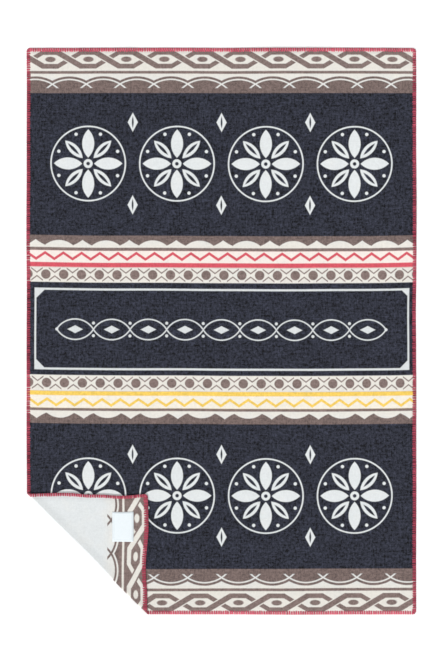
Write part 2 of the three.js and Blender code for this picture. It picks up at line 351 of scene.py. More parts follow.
class Value:
    """A number that varies over a surface: sums on it add Math nodes."""

    def __init__(self, finish, socket):
        self.finish = finish
        self.socket = socket

    def __add__(self, other):
        return self.finish.math("ADD", self, other)

    def __sub__(self, other):
        return self.finish.math("SUBTRACT", self, other)

    def __rsub__(self, other):
        return self.finish.math("SUBTRACT", other, self)

    def __mul__(self, other):
        return self.finish.math("MULTIPLY", self, other)

    def __truediv__(self, other):
        return self.finish.math("DIVIDE", self, other)

    def __neg__(self):
        return self.finish.math("MULTIPLY", self, -1.0)

    def __abs__(self):
        return self.finish.math("ABSOLUTE", self)

    __radd__ = __add__
    __rmul__ = __mul__


class Finish:
    """A material in the making, with one method that adds any node."""

    def __init__(self, name):
        self.material = bpy.data.materials.new(name)
        self.material.use_nodes = True
        self.tree = self.material.node_tree
        self.tree.nodes.clear()

    def node(self, kind, settings=None, inputs=None):
        """Adds a node, sets it, and gives its sockets values or links."""
        node = self.tree.nodes.new(kind)
        for name, setting in (settings or {}).items():
            setattr(node, name, setting)
        for name, given in (inputs or {}).items():
            socket = node.inputs[name]
            if isinstance(given, Value):
                self.tree.links.new(given.socket, socket)
            else:
                socket.default_value = given
        return node

    def value(self, node, output=0):
        """The value that a node gives out."""
        return Value(self, node.outputs[output])

    def math(self, operation, *values):
        """A Math node's result."""
        inputs = dict(enumerate(values))
        return self.value(self.node("ShaderNodeMath", {"operation": operation}, inputs))

    def least(self, first, *others):
        """The least of several values: the union of figures."""
        for other in others:
            first = self.math("MINIMUM", first, other)
        return first

    def most(self, first, *others):
        """The greatest of several values: what figures share."""
        for other in others:
            first = self.math("MAXIMUM", first, other)
        return first

    def away(self, x, y):
        """Distance of a point from the origin."""
        return self.math("SQRT", x * x + y * y)

    def from_nearest(self, value, pitch, middle=0.0):
        """Distance from the nearest of evenly spaced places."""
        return self.math("PINGPONG", value - middle, pitch / 2)

    def about_nearest(self, value, pitch, middle=0.0):
        """The same, but below zero on the near side."""
        return self.math("WRAP", value - middle, pitch / 2, pitch / -2)

    def held(self, value, low, high):
        """The value, held between two limits."""
        return self.math("MINIMUM", self.math("MAXIMUM", value, low), high)

    def inside(self, distance, softness):
        """1 where a distance is below zero and 0 where it is above."""
        scaled = distance * (-1 / softness) + 0.5
        settings = {"operation": "ADD", "use_clamp": True}
        return self.value(self.node("ShaderNodeMath", settings, {0: scaled, 1: 0.0}))

    def mix(self, factor, one, other):
        """A colour between two colours."""
        settings = {"data_type": "RGBA", "clamp_factor": True}
        inputs = {0: factor, 6: one, 7: other}
        return self.value(self.node("ShaderNodeMix", settings, inputs), 2)

    def scaled(self, vector, share):
        """A colour made lighter or darker, or a vector made longer or shorter."""
        inputs = {"Vector": vector, "Scale": share}
        return self.value(self.node("ShaderNodeVectorMath", {"operation": "SCALE"}, inputs))

    def noise(self, place, scale, detail=2.0, roughness=0.5, output="Fac"):
        """Noise at a place, with features of about 1 / scale."""
        inputs = {"Vector": place, "Scale": scale, "Detail": detail, "Roughness": roughness}
        node = self.node("ShaderNodeTexNoise", {"noise_dimensions": "3D"}, inputs)
        return self.value(node, output)

    def parts(self, vector):
        """The three numbers of a vector."""
        node = self.node("ShaderNodeSeparateXYZ", None, {"Vector": vector})
        return [self.value(node, part) for part in range(3)]

    def joined(self, x, y, z=0.0):
        """A vector of three numbers."""
        return self.value(self.node("ShaderNodeCombineXYZ", None, {"X": x, "Y": y, "Z": z}))

    def bump(self, height, distance, strength):
        """The normal of a surface with a fine relief."""
        inputs = {"Height": height, "Distance": distance, "Strength": strength}
        return self.value(self.node("ShaderNodeBump", None, inputs))

    def surface(self, inputs):
        """Closes the material with its shader."""
        shader = self.value(self.node("ShaderNodeBsdfPrincipled", None, inputs))
        self.node("ShaderNodeOutputMaterial", None, {"Surface": shader})
        return self.material


# The woven design. All its sizes are in millimetres on the flat cloth: x from the
# middle, out is the distance from the middle of the design, and in_from_end is the
# distance from the nearer end of the blanket. Where two values are given, the first
# is for the upper half of the blanket and the second for the lower half.
DESIGN_MIDDLE = 5
END_SHIFT = -0.35
END_TRIM = 0.5
LOW_END_TILT = (0.0031, 0.3)
CHARCOAL_END = (313.0, 314.3)
BORDER_DEPTH = 151.75
PANEL_END = (156.3, 153.0)
DOTS_END = 206
ZIGZAG_END = (262.3, 262.7)
EDGE_SOFTNESS = 2.5

# How far the bands of the middle bow over the width, as the terms of a curve in
# x / BOW_REACH, and how much they are drawn together towards the right edge
BOW = (2.28, 1.11, -0.14, -2.41, -0.87)
BOW_REACH = 540
DRAWN_FROM = 380
DRAWN_SHARE = 0.045

PLAIT = {
    "pitch": (126.7, 127.65), "middle": (0.1, -6.35), "line": 39.2, "swing": 23.0,
    "slope": 0.59, "half": 8.0, "over": 10.5, "under": 8.4, "gap": 3.9,
    "eye_across": 17.4, "eye_along": 8.9,
}
PLAIT_STRETCH = {"amount": 12.4, "middle": -270, "length": 100}
END_LINE = {"line": 82.6, "half": 4.6}
ARCS = {
    "pitch": (112.95, 112.7), "middle": 57.1, "radius": (109, 103), "top": 106.05, "half": 2.3,
    "outline": 10, "tail_end": 134.8,
}
POINTS = {
    "pitch": (156.1, 156.8), "middle": (5.75, 11.5), "base": (272.7, 271.9),
    "valley": (280.3, 279.8), "peak": (298.5, 298.0), "slope": 0.75, "curve": 0.0053,
    "round": 71.5, "round_drop": (1.5, 2.8),
}
STRIPE = {"line": (214.9, 213.1), "half": 7.6}
ZIGZAG = {
    "pitch": (60.77, 61.03), "middle": (20.3, -1.3), "peak": (254.4, 253.6),
    "slope": 0.68, "half": 4.2,
}
DOTS = {
    "pitch": (59.42, 59.68), "middle": (8.5, 13.9), "line": (182.3, 179.0), "radius": 15.8,
    "vertex": 5.8, "slope": 0.75, "half": 1.9, "arm": 19.5,
    "drawn": (0.045, 0.068),
}
PANEL = {
    "middle": 1.6, "across": 625.0, "out": (136.7, 135.6), "line_across": 5.9,
    "line_out": 6.8, "corner_left": 27, "corner_right": (19, 25),
}

# The run of ovals along the panel, and the rosettes of the dark fields with their
# lozenges. A petal, a leaf and a slit are given as start, end and half width.
CHAIN = {
    "pitch": 122, "half": 34, "line": 2.1, "links": 9, "gem": (26, 13), "foot": 21.08,
    "bead": 5,
}
ROSETTE = {
    "pitch": 296, "middle": 148, "line": 553.5, "ring": 124, "ring_line": 2.4,
    "petal": (20, 114, 20), "leaf": (26, 108, 15), "slit": (42, 96, 5), "eye": 10.5,
    "eye_line": 4.5, "bead_out": 106, "bead": 5.5,
}
GEM = {"half": (17, 32), "line": 138, "slit": (-19.2, 19.2, 3), "end": 560}
LOZENGE_SCALE = 0.9
FIELD_END = 590


class Design:
    """The figures of the weave as distances, below zero inside a figure."""

    def __init__(self, finish, x, y, half_length):
        self.finish = finish
        self.in_upper = finish.math("GREATER_THAN", y, 0.0)
        self.x = x
        self.past = finish.most(x - DRAWN_FROM, 0.0)
        self.drawn_x = x + self.past * DRAWN_SHARE
        along = y / half_length
        across = x / BOW_REACH
        bow = across * BOW[0] + BOW[1]
        for term in BOW[2:]:
            bow = bow * across + term
        self.out = abs(y - bow * (1 - along * along) - DESIGN_MIDDLE)
        tilt = x * LOW_END_TILT[0] + LOW_END_TILT[1]
        in_from_end = half_length + END_TRIM - abs(y + END_SHIFT)
        self.in_from_end = in_from_end - tilt * (1 - self.in_upper)
        self.y = y
        self.charcoal_end = self.by_half(CHARCOAL_END)
        self.panel_end = self.by_half(PANEL_END)
        self.zigzag_end = self.by_half(ZIGZAG_END)

    def by_half(self, values):
        """A value that differs between the upper and the lower half."""
        upper, lower = values
        return self.in_upper * (upper - lower) + lower

    def lens(self, along, aside, start, end, half):
        """A pointed oval along an axis, aside already without its sign."""
        reach = (end - start) / 2
        radius = (reach * reach + half * half) / (2 * half)
        return self.finish.away(along - (start + end) / 2, aside + (radius - half)) - radius

    def lozenge(self, across, out, half_across, half_out):
        """A lozenge, its distances about true to size."""
        share = across / half_across + out / half_out - 1
        return share * (min(half_across, half_out) * LOZENGE_SCALE)

    def plait(self):
        """Two flat strands that cross, one always over the other, with eyes."""
        f = self.finish
        pitch = self.by_half(PLAIT["pitch"])
        stretch = f.inside(self.x - PLAIT_STRETCH["middle"], PLAIT_STRETCH["length"])
        stretch = stretch * (1 - self.in_upper) * PLAIT_STRETCH["amount"]
        run = f.about_nearest(self.x - stretch, pitch, self.by_half(PLAIT["middle"]))
        height = PLAIT["line"] - self.in_from_end
        swing, half = PLAIT["swing"], PLAIT["half"]
        slope = run * PLAIT["slope"]
        strands = []
        for line, slanted in ((-slope, PLAIT["over"]), (slope, PLAIT["under"])):
            upper = f.held(line + slanted, half - swing, half + swing)
            lower = f.held(line - slanted, -half - swing, swing - half)
            strands.append(f.most(height - upper, lower - height))
        over, under = strands
        under = f.most(under, PLAIT["gap"] - over)
        to_eye = pitch / 2 - abs(run)
        eye = f.away(to_eye / PLAIT["eye_across"], height / PLAIT["eye_along"]) - 1
        return f.least(over, under, eye * PLAIT["eye_along"])

    def arcs(self):
        """Arcs that cross at their feet, on the coloured ground."""
        f = self.finish
        pitch = self.by_half(ARCS["pitch"])
        radius = self.by_half(ARCS["radius"])
        near = f.from_nearest(self.x, pitch, ARCS["middle"])
        below = self.in_from_end - ARCS["top"] - radius
        to_near = f.away(near, below)
        to_next = f.away(pitch - near, below)
        line = abs(to_near - radius) - ARCS["half"]
        tail = abs(to_next - radius) - ARCS["half"]
        tail = f.most(tail, self.in_from_end - ARCS["tail_end"])
        ground = to_near - radius - ARCS["outline"]
        return f.most(ground, -line, -tail)

    def border(self):
        """Ecru of an end's border."""
        f = self.finish
        line = abs(self.in_from_end - END_LINE["line"]) - END_LINE["half"]
        coloured = f.least(self.plait(), line, self.arcs())
        return f.most(-coloured, self.in_from_end - BORDER_DEPTH)

    def points(self):
        """Ecru points and half rounds by turns, against the coloured ground."""
        f = self.finish
        pitch = self.by_half(POINTS["pitch"])
        peak = self.by_half(POINTS["peak"])
        near = f.from_nearest(self.drawn_x, pitch, self.by_half(POINTS["middle"]))
        point = self.out - peak + near * (POINTS["slope"] - near * POINTS["curve"])
        sunk = self.out - peak + self.by_half(POINTS["round_drop"]) + POINTS["round"]
        half_round = f.away(pitch / 2 - near, sunk) - POINTS["round"]
        shape = f.least(point, half_round, self.out - self.by_half(POINTS["valley"]))
        base = self.by_half(POINTS["base"])
        return f.most(shape, base - self.out, self.out - self.charcoal_end)

    def zigzag(self):
        """Ecru round the bright stripe and zigzag."""
        f = self.finish
        stripe = abs(self.out - self.by_half(STRIPE["line"])) - STRIPE["half"]
        pitch = self.by_half(ZIGZAG["pitch"])
        near = f.from_nearest(self.drawn_x, pitch, self.by_half(ZIGZAG["middle"]))
        line = abs(self.out - self.by_half(ZIGZAG["peak"]) + near * ZIGZAG["slope"])
        zigzag = line / math.hypot(1, ZIGZAG["slope"]) - ZIGZAG["half"]
        bright = f.least(stripe, zigzag)
        return f.most(-bright, DOTS_END - self.out, self.out - self.zigzag_end)

    def dots(self):
        """Ecru round the dots and the fine lines between them."""
        f = self.finish
        pitch = self.by_half(DOTS["pitch"])
        drawn_x = self.x + self.past * self.by_half(DOTS["drawn"])
        near = f.from_nearest(drawn_x, pitch, self.by_half(DOTS["middle"]))
        aside = abs(self.out - self.by_half(DOTS["line"]))
        dot = f.away(near, aside) - DOTS["radius"]
        between = pitch / 2 - near
        line = abs(aside - DOTS["vertex"] - between * DOTS["slope"])
        line = line / math.hypot(1, DOTS["slope"]) - DOTS["half"]
        line = f.most(line, between - DOTS["arm"])
        coloured = f.least(dot, line)
        return f.most(-coloured, self.panel_end - self.out, self.out - DOTS_END)

    def panel(self):
        """The ecru frame of the middle panel, its inner corners cut off."""
        f = self.finish
        across = self.x - PANEL["middle"]
        aside = abs(across) - PANEL["across"]
        out = self.out - self.by_half(PANEL["out"])
        on_right = f.math("GREATER_THAN", across, 0.0)
        corner_left = PANEL["corner_left"]
        cut = on_right * (self.by_half(PANEL["corner_right"]) - corner_left) + corner_left
        inner_aside = aside + PANEL["line_across"]
        inner_out = out + PANEL["line_out"]
        corner = (inner_aside + inner_out + cut) / ROOT_TWO
        return f.most(aside, out, -f.most(inner_aside, inner_out, corner))

    def chain(self):
        """A plain run of pointed ovals along the panel, a lozenge in each."""
        f = self.finish
        pitch, half = CHAIN["pitch"], CHAIN["half"]
        near = f.from_nearest(self.x, pitch)
        link = abs(self.lens(near, self.out, -pitch / 2, pitch / 2, half)) - CHAIN["line"]
        gem = self.lozenge(near, self.out, *CHAIN["gem"])
        run = abs(self.x) - pitch * CHAIN["links"] / 2
        foot = f.away(pitch / 2 - near, self.out - CHAIN["foot"]) - CHAIN["bead"]
        end = f.away(run, self.out) - CHAIN["bead"]
        return f.least(f.most(f.least(link, gem), run), f.most(foot, run + pitch / 4), end)

    def rosettes(self):
        """Eight-petalled rosettes in rings on the dark ground, lozenges between."""
        f = self.finish
        across = f.from_nearest(self.x, ROSETTE["pitch"], ROSETTE["middle"])
        up = abs(self.out - ROSETTE["line"])
        high = f.most(across, up)
        low = f.least(across, up)
        on_slant = (high + low) / ROOT_TWO
        off_slant = (high - low) / ROOT_TWO
        radius = f.away(across, up)
        petal = self.lens(high, low, *ROSETTE["petal"])
        leaf = self.lens(on_slant, off_slant, *ROSETTE["leaf"])
        slit = self.lens(on_slant, off_slant, *ROSETTE["slit"])
        ring = abs(radius - ROSETTE["ring"]) - ROSETTE["ring_line"]
        eye = abs(radius - ROSETTE["eye"]) - ROSETTE["eye_line"]
        turn = math.pi / 8
        along = f.most(high, on_slant)
        aside = f.least(low, off_slant)
        bead_along = along * math.cos(turn) + aside * math.sin(turn)
        bead_aside = along * math.sin(turn) - aside * math.cos(turn)
        bead = f.away(bead_along - ROSETTE["bead_out"], bead_aside) - ROSETTE["bead"]
        flower = f.least(petal, f.most(leaf, -slit), ring, eye, bead)
        between = ROSETTE["pitch"] / 2 - across
        off = abs(up - GEM["line"])
        gem = self.lozenge(between, off, *GEM["half"])
        gap = self.lens(off, between, *GEM["slit"])
        gem = f.most(gem, -gap, abs(self.x) - GEM["end"])
        in_field = f.most(self.charcoal_end - self.out, BORDER_DEPTH - self.in_from_end)
        return f.most(f.least(flower, gem), in_field, abs(self.x) - FIELD_END)

    def ecru(self):
        """Every place where the ecru yarn is on the face."""
        return self.finish.least(
            self.panel(),
            self.chain(),
            self.dots(),
            self.zigzag(),
            self.points(),
            self.rosettes(),
            self.border(),
        )

    def taupe_ground(self):
        """Where the coloured yarn is taupe."""
        f = self.finish
        dots = f.most(self.panel_end - self.out, self.out - DOTS_END)
        points = f.most(self.zigzag_end - self.out, self.out - self.charcoal_end)
        return f.least(dots, points, self.in_from_end - BORDER_DEPTH)

    def bright_ground(self):
        """Where the coloured yarn is red or yellow."""
        return self.finish.most(DOTS_END - self.out, self.out - self.zigzag_end)


# Thread and nap of the wool, in millimetres on the cloth
FUZZ = 1.5
FUZZ_SIZE = 1.7
NAP_SIZE = 9.0
FIBRE_SIZE = 3.2
CLOUD_SIZE = 48.0
STREAK_WIDE = 4.0
STREAK_LONG = 34.0
TWILL = 2.3
TWILL_STRAY = 3.0
WEFT_SLICE = 7.0
REVERSE_SPREAD = 1.0
THIN_FIGURES_END = 97
THIN_FIGURES_OUT = 274
TINT_START = 120
TINT_SPREAD = 70

# How strongly the cloth's noises show: in the mottle, in each colour and in relief
MOTTLE = {"fibre": 0.9, "cloud": 0.25, "thread": 0.4}
MOTTLE_CHARCOAL = 4.4
MOTTLE_TAUPE = 1.5
MOTTLE_BRIGHT = 0.6
MOTTLE_PALE = 0.20
TINT_CLOUD = 0.8
RELIEF = {"twill": 0.08, "nap": 0.5, "fibre": 0.6, "thread": 0.25, "pale": 0.25}

# Thin taupe figures are paler. Beside red and yellow the ecru takes up some of their
# colour and is lighter, and in the panel it is duller.
THIN_LIGHTER = 0.22
THIN_SPREAD = 6.0
BRIGHT_BLEED = 0.09
LIGHTER_BY_YELLOW = 0.11
LIGHTER_BY_RED = 0.04
DULLER_IN_PANEL = 0.08

# The yarn of the edging: its fluff, the length of its twist in millimetres, and how strongly its
# fluff and its plies show; in its colour the plies show as painted shade, darker in the grooves
# of the twist
YARN = {
    "fluff_scale": 900.0, "twist": 3.1, "fluff": 0.35, "lightness": 0.95, "ply": 0.07,
    "ply_relief": 0.5,
}

# The label's tape, in millimetres: how far in its woven line runs, half that line's
# width and how soft it is, and the pitch of its threads; then its faint clouds
TAPE = {
    "line_in": 6.0, "line_half": 0.6, "line_soft": 0.5, "warp": 1.1, "weft": 0.9,
    "cloud_scale": 0.09, "lightness": 0.97, "cloud": 0.06,
}

# The sewing thread: its fluff, and how strongly that shows
THREAD = {"fluff_scale": 1500.0, "lightness": 0.94, "fluff": 0.12}


def wool_finish(colours, sizes):
    """Double-faced wool: the weave's figures, its nap, its mottle and its relief."""
    f = Finish("wool_cloth")
    flat = f.value(f.node("ShaderNodeUVMap", {"uv_map": "Cloth"}))
    flat = f.scaled(flat, 1 / MM)
    side = f.value(f.node("ShaderNodeAttribute", {"attribute_name": "side"}), "Fac")
    a, b, _ = f.parts(flat)
    x = a - sizes.width / MM / 2
    y = b - sizes.length / MM / 2
    fuzz_x, fuzz_y, _ = f.parts(f.noise(flat, 1 / FUZZ_SIZE, 1.0, output="Color"))
    woven_x = x + (fuzz_x - 0.5) * FUZZ
    woven_y = y + (fuzz_y - 0.5) * FUZZ
    design = Design(f, woven_x, woven_y, sizes.length / MM / 2)
    ecru = f.inside(design.ecru() - (1 - side) * REVERSE_SPREAD, EDGE_SOFTNESS)
    taupe = f.inside(design.taupe_ground(), EDGE_SOFTNESS)
    bright = f.inside(design.bright_ground(), EDGE_SOFTNESS)
    red = f.inside(-design.y, EDGE_SOFTNESS)
    shown = abs(ecru - (1 - side))

    nap = f.noise(flat, 1 / NAP_SIZE, 3.0, 0.6)
    fibre = f.noise(flat, 1 / FIBRE_SIZE, 2.0, 0.7)
    cloud = f.noise(flat, 1 / CLOUD_SIZE, 2.0)
    warp = f.noise(f.joined(a / STREAK_WIDE, b / STREAK_LONG), 1.0, 2.0)
    weft = f.noise(f.joined(a / STREAK_LONG, b / STREAK_WIDE, WEFT_SLICE), 1.0, 2.0)
    mottle = (nap - 0.5) + (fibre - 0.5) * MOTTLE["fibre"] + (cloud - 0.5) * MOTTLE["cloud"]
    mottle += (warp + weft - 1) * MOTTLE["thread"]
    dark = f.scaled(tuple(colours.charcoal), 1 + mottle * MOTTLE_CHARCOAL)
    thin = f.least(design.in_from_end - THIN_FIGURES_END, design.out - THIN_FIGURES_OUT)
    thin = f.inside(thin, THIN_SPREAD)
    warm = f.scaled(tuple(colours.taupe), 1 + thin * THIN_LIGHTER + mottle * MOTTLE_TAUPE)
    glow = f.mix(red, opaque(colours.yellow), opaque(colours.red))
    glow = f.scaled(glow, 1 + mottle * MOTTLE_BRIGHT)
    ground = f.mix(taupe, dark, warm)
    ground = f.mix(bright, ground, glow)

    tint = f.least(design.in_from_end - TINT_START, design.out - design.charcoal_end)
    in_panel = f.inside(design.out - design.panel_end, EDGE_SOFTNESS)
    tint = f.inside(tint, TINT_SPREAD) * (1 - in_panel) + (cloud - 0.5) * TINT_CLOUD
    pale = f.mix(tint, opaque(colours.ecru_on_dark), opaque(colours.ecru))
    pale = f.mix(bright * BRIGHT_BLEED, pale, glow)
    light = 1 + bright * (LIGHTER_BY_YELLOW + red * LIGHTER_BY_RED)
    light = light - in_panel * DULLER_IN_PANEL + mottle * MOTTLE_PALE
    pale = f.scaled(pale, light)
    colour = f.mix(shown, ground, pale)

    twill = f.math("SINE", (a + b + fibre * TWILL_STRAY) * (2 * math.pi / TWILL))
    relief = twill * RELIEF["twill"] + nap * RELIEF["nap"] + fibre * RELIEF["fibre"]
    relief += (warp + weft) * RELIEF["thread"] + shown * RELIEF["pale"]
    return f.surface({
        "Base Color": colour,
        "Roughness": 0.93,
        "Sheen Weight": 0.12,
        "Sheen Roughness": 0.45,
        "Specular IOR Level": 0.25,
        "Normal": f.bump(relief, distance=0.6 * MM, strength=0.5),
    })


def yarn_finish(colours):
    """Twisted red yarn: each stitch a shade of its own, partly its own tone and partly painted
    light by the way it lies, with its plies and nap.
    """
    f = Finish("edging_yarn")
    yarn = f.value(f.node("ShaderNodeAttribute", {"attribute_name": "yarn"}), "Vector")
    along, around, shade = f.parts(yarn)
    place = f.value(f.node("ShaderNodeTexCoord"), "Object")
    fluff = f.noise(place, YARN["fluff_scale"], 2.0, 0.6)
    ply = f.math("SINE", (along / YARN["twist"] + around) * (2 * math.pi))
    shade = shade + (fluff - 0.5) * YARN["fluff"]
    colour = f.mix(shade, opaque(colours.edging_dark), opaque(colours.edging_light))
    # Painted shade: the yarn is darker in the grooves of its twist, where its relief is low.
    colour = f.scaled(colour, YARN["lightness"] + ply * YARN["ply"])
    return f.surface({
        "Base Color": colour,
        "Roughness": 0.88,
        "Sheen Weight": 0.12,
        "Sheen Roughness": 0.4,
        "Specular IOR Level": 0.25,
        "Normal": f.bump(ply * YARN["ply_relief"] + fluff, distance=0.3 * MM, strength=0.7),
    })


def tape_finish(colours, sizes):
    """The bare label: a smooth, fine tape with a plain woven line near its rim."""
    f = Finish("label_tape")
    flat = f.value(f.node("ShaderNodeUVMap", {"uv_map": "Cloth"}))
    a, b, _ = f.parts(flat)
    from_middle_a = abs(a - (sizes.label_a + sizes.label_width / 2)) / MM
    from_middle_b = abs(b - (sizes.label_b + sizes.label_height / 2)) / MM
    in_a = sizes.label_width / MM / 2 - from_middle_a
    in_b = sizes.label_height / MM / 2 - from_middle_b
    rim = f.least(in_a, in_b)
    line = f.inside(abs(rim - TAPE["line_in"]) - TAPE["line_half"], TAPE["line_soft"])
    warp = f.math("SINE", a * (2 * math.pi / (TAPE["warp"] * MM)))
    weft = f.math("SINE", b * (2 * math.pi / (TAPE["weft"] * MM)))
    cloud = f.noise(f.joined(a / MM, b / MM), TAPE["cloud_scale"], 2.0)
    colour = f.mix(line, opaque(colours.label), opaque(colours.label_line))
    colour = f.scaled(colour, TAPE["lightness"] + cloud * TAPE["cloud"])
    return f.surface({
        "Base Color": colour,
        "Roughness": 0.62,
        "Sheen Weight": 0.1,
        "Specular IOR Level": 0.35,
        "Normal": f.bump(warp * weft, distance=0.06 * MM, strength=0.5),
    })


def thread_finish(colours):
    """Sewing thread that holds the label."""
    f = Finish("sewing_thread")
    place = f.value(f.node("ShaderNodeTexCoord"), "Object")
    fluff = f.noise(place, THREAD["fluff_scale"], 1.0)
    light = THREAD["lightness"] + fluff * THREAD["fluff"]
    colour = f.scaled(tuple(colours.thread), light)
    return f.surface({
        "Base Color": colour,
        "Roughness": 0.6,
        "Normal": f.bump(fluff, distance=0.1 * MM, strength=0.4),
    })


def floor_finish(colours):
    """The plain pale floor."""
    f = Finish("studio_floor")
    return f.surface({
        "Base Color": opaque(colours.floor),
        "Roughness": 0.9,
        "Specular IOR Level": 0.1,
    })


def length_property(name, description, length):
    """A length that a user may change."""
    return FloatProperty(name=name, description=description, default=length, unit="LENGTH")


def colour_property(name, description, colour):
    """A colour that a user may change."""
    return FloatVectorProperty(
        name=name, description=description, subtype="COLOR", size=3, min=0, max=1, default=colour
    )


class BlanketSizes(bpy.types.PropertyGroup):
    """Sizes of the finished blanket."""

    width: length_property("Width", "Across the finished blanket", 1.3)
    length: length_property("Length", "Along the finished blanket", 1.89)
    thickness: length_property("Thickness", "Of the woven cloth", 3 * MM)
    cell: length_property("Cell", "Longest face of the mesh", 11.5 * MM)
    edging_reach: length_property("Edging reach", "Of the stitches, inwards", 13 * MM)
    strand_pitch: length_property("Strand pitch", "From strand to strand", 3.8 * MM)
    yarn_thickness: length_property("Yarn thickness", "Of the yarn as it lies", 1 * MM)
    label_a: length_property("Label across", "From the side edge", 57 * MM)
    label_b: length_property("Label along", "From the end edge", 48 * MM)
    label_width: length_property("Label width", "Along the end edge", 103 * MM)
    label_height: length_property("Label height", "Along the side edge", 70 * MM)
    seed: IntProperty(name="Seed", description="Of the uneven stitches", default=7)


class BlanketColours(bpy.types.PropertyGroup):
    """Colours of the yarns, the label and the floor."""

    charcoal: colour_property("Charcoal", "Dark yarn of the fields", (0.0205, 0.0228, 0.0350))
    taupe: colour_property("Taupe", "Yarn of the borders' ground", (0.161, 0.118, 0.1086))
    ecru: colour_property("Ecru", "Pale yarn beside taupe and red", (0.707, 0.681, 0.629))
    ecru_on_dark: colour_property("Cool ecru", "Pale yarn beside charcoal", (0.668, 0.695, 0.702))
    red: colour_property("Red", "Upper stripe and zigzag", (0.588, 0.084, 0.113))
    yellow: colour_property("Yellow", "Lower stripe and zigzag", (0.80, 0.54, 0.108))
    edging_dark: colour_property("Edging, dark", "Deep shade of the edging", (0.20, 0.018, 0.040))
    edging_light: colour_property("Edging, light", "Light shade of it", (0.80, 0.125, 0.20))
    label: colour_property("Label", "Tape of the label", (0.755, 0.815, 0.845))
    label_line: colour_property("Label line", "Line near the label's rim", (0.63, 0.69, 0.73))
    thread: colour_property("Thread", "Sewing thread of the label", (0.70, 0.73, 0.75))
    floor: colour_property("Floor", "Studio floor", (0.95, 0.95, 0.95))


class StudioSizes(bpy.types.PropertyGroup):
    """The camera, the floor and the lights."""

    focal_length: FloatProperty(
        name="Focal length", description="Of the camera", default=85, unit="CAMERA"
    )
    floor_size: length_property("Floor", "Side of the floor", 14)
    side_power: FloatProperty(
        name="Side lights", description="Power of each side light", default=50, unit="POWER"
    )
    top_power: FloatProperty(
        name="Top light", description="Power of the light above", default=40, unit="POWER"
    )
    key_strength: FloatProperty(
        name="Key light", description="Strength of the far key light", default=2.8
    )
    sky_strength: FloatProperty(
        name="Surroundings", description="Strength of the white surroundings", default=0.265
    )


def bake_places(kinds, flat, corners, per_face, cloth):
    """The cloth's own bake map: its face, the flap's reverse and the rest of it."""
    a, b = flat[corners].T
    kind = np.repeat(kinds, per_face)
    starts = np.concatenate([[0], np.cumsum(per_face)[:-1]])
    middle = np.add.reduceat(a + b, starts) / per_face
    flap = np.repeat(middle < cloth.bend_start * ROOT_TWO, per_face)
    places = np.empty((len(corners), 2))

    def put(chosen, box, span_u, span_v):
        """Puts the chosen corners in a box of the map."""
        left, low, wide, high = box
        places[chosen, 0] = left + wide * b[chosen] / span_u
        places[chosen, 1] = low + high * a[chosen] / span_v

    flap_span = cloth.bend_start * ROOT_TWO * BAKE_SPARE
    put(kind != 0, BAKE_FACE, cloth.length, cloth.width)
    put((kind == 0) & ~flap, BAKE_REVERSE, cloth.length, cloth.width)
    put((kind == 0) & flap, BAKE_FLAP, flap_span, flap_span)
    count = len(flat) // 2
    wall_foot = (kind == 2) & (corners < count)
    outward = np.stack([b - cloth.length / 2, a - cloth.width / 2], -1)
    outward /= np.maximum(np.abs(outward).max(1, keepdims=True), 1e-9)
    places[wall_foot] += BAKE_WALL * np.sign(np.round(outward[wall_foot], 1))
    return places


class BLANKET_OT_cloth(bpy.types.Operator):
    """Lay the woven cloth with its turned-over corner"""

    bl_idname = "blanket.cloth"
    bl_label = "Woven cloth"

    BEND_STEPS = 18
    SINK_STEPS = 6
    CORNER_STEPS = 6
    SWELL_STEPS = 3

    def lines(self, size, sizes):
        """Where the flat cloth is divided, from one edge to the other."""
        squeezed = sizes.edging_reach + SQUEEZE_MARGIN
        full = squeezed + SWELL_WIDTH
        swell = np.linspace(squeezed, full, self.SWELL_STEPS + 1)
        count = math.ceil((size - 2 * full) / sizes.cell)
        middle = np.linspace(full, size - full, count + 1)[1:-1]
        return np.concatenate([[EDGE_GAP], swell, middle, size - swell[::-1], [size - EDGE_GAP]])

    def execute(self, context):
        sizes = context.scene.blanket_sizes
        colours = context.scene.blanket_colours
        cloth = LaidCloth(sizes)
        layer = flat_layer(self.lines(cloth.width, sizes), self.lines(cloth.length, sizes))
        for distance in cloth.fold_breaks(self.BEND_STEPS, self.SINK_STEPS):
            cut_layer(layer, (distance / ROOT_TWO, distance / ROOT_TWO), (1, 1))
        for arc in cloth.corner_arcs(EDGE_GAP, self.CORNER_STEPS):
            for start, end in zip(arc, arc[1:]):
                cut_layer(layer, start, (end[1] - start[1], start[0] - end[0]), cut_away=True)
        many = [face for face in layer.faces if len(face.verts) > 4]
        bmesh.ops.triangulate(layer, faces=many)

        def lower(a, b):
            """The reverse of the cloth."""
            return -cloth.half_thickness(a, b)

        piece, kinds, flat, corners = closed_layer(
            "blanket_cloth", layer, lower, cloth.half_thickness, cloth.lay
        )
        mesh = piece.data
        per_face = np.empty(len(mesh.polygons), int)
        mesh.polygons.foreach_get("loop_total", per_face)
        places = bake_places(kinds, flat, corners, per_face, cloth)
        bake_map = mesh.uv_layers.new(name="OFBake")
        bake_map.uv.foreach_set("vector", places.astype(np.float32).ravel())
        finish_piece(piece, wool_finish(colours, sizes), "blanket")
        return {"FINISHED"}


